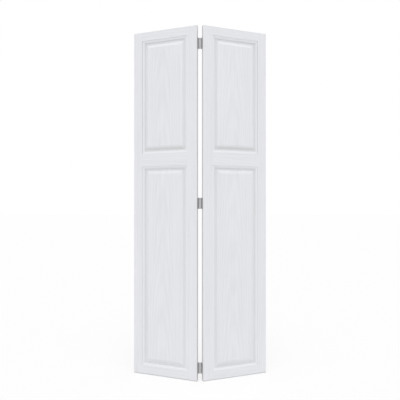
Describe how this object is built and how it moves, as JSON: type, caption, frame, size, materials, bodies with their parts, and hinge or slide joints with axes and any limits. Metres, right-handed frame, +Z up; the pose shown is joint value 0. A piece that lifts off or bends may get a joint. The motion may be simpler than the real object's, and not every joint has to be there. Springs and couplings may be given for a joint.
{
  "type": "bifold closet door",
  "caption": "White bifold closet door: raised-panel leaves joined at the fold by pinned hinges, with pivot sockets in the ends of the outer stiles.",
  "frame": {"origin": "on the floor, under the middle of the door's box", "axes": "+Z up along the leaves; -Y to the front, where the fold points; +X to the right seen from the front"},
  "size_m": [0.7756, 0.1352, 1.994],
  "materials": {
    "white_painted_wood": "satin white paint over open vertical grain",
    "dowel_beech": "bare beech",
    "socket_nylon": "natural white nylon",
    "hinge_steel": "satin nickel plate",
    "pin_steel": "bright steel",
    "screw_steel": "zinc plate"
  },
  "bodies": {
    "left_leaf": {"left_hinge_stile": "white_painted_wood", "left_outer_stile": "white_painted_wood", "left_bottom_rail": "white_painted_wood", "left_middle_rail": "white_painted_wood", "left_top_rail": "white_painted_wood", "left_lower_panel": "white_painted_wood", "left_upper_panel": "white_painted_wood", "left_dowels": "dowel_beech", "left_top_pivot_socket": "socket_nylon", "left_bottom_pivot_socket": "socket_nylon", "bottom_hinge_left_plate": "hinge_steel", "middle_hinge_left_plate": "hinge_steel", "top_hinge_left_plate": "hinge_steel", "left_hinge_screws": "screw_steel", "bottom_hinge_pin": "pin_steel", "middle_hinge_pin": "pin_steel", "top_hinge_pin": "pin_steel"},
    "right_leaf": {"right_hinge_stile": "white_painted_wood", "right_outer_stile": "white_painted_wood", "right_bottom_rail": "white_painted_wood", "right_middle_rail": "white_painted_wood", "right_top_rail": "white_painted_wood", "right_lower_panel": "white_painted_wood", "right_upper_panel": "white_painted_wood", "right_dowels": "dowel_beech", "right_top_pivot_socket": "socket_nylon", "right_bottom_pivot_socket": "socket_nylon", "bottom_hinge_right_plate": "hinge_steel", "middle_hinge_right_plate": "hinge_steel", "top_hinge_right_plate": "hinge_steel", "right_hinge_screws": "screw_steel"}
  },
  "joints": [
    {"name": "fold", "type": "hinge", "parent": "left_leaf", "child": "right_leaf", "pos_m": [0, -0.04815, 0.997], "axis": [0, 0, 1], "range_deg": [-34.7, 145.3]}
  ]
}
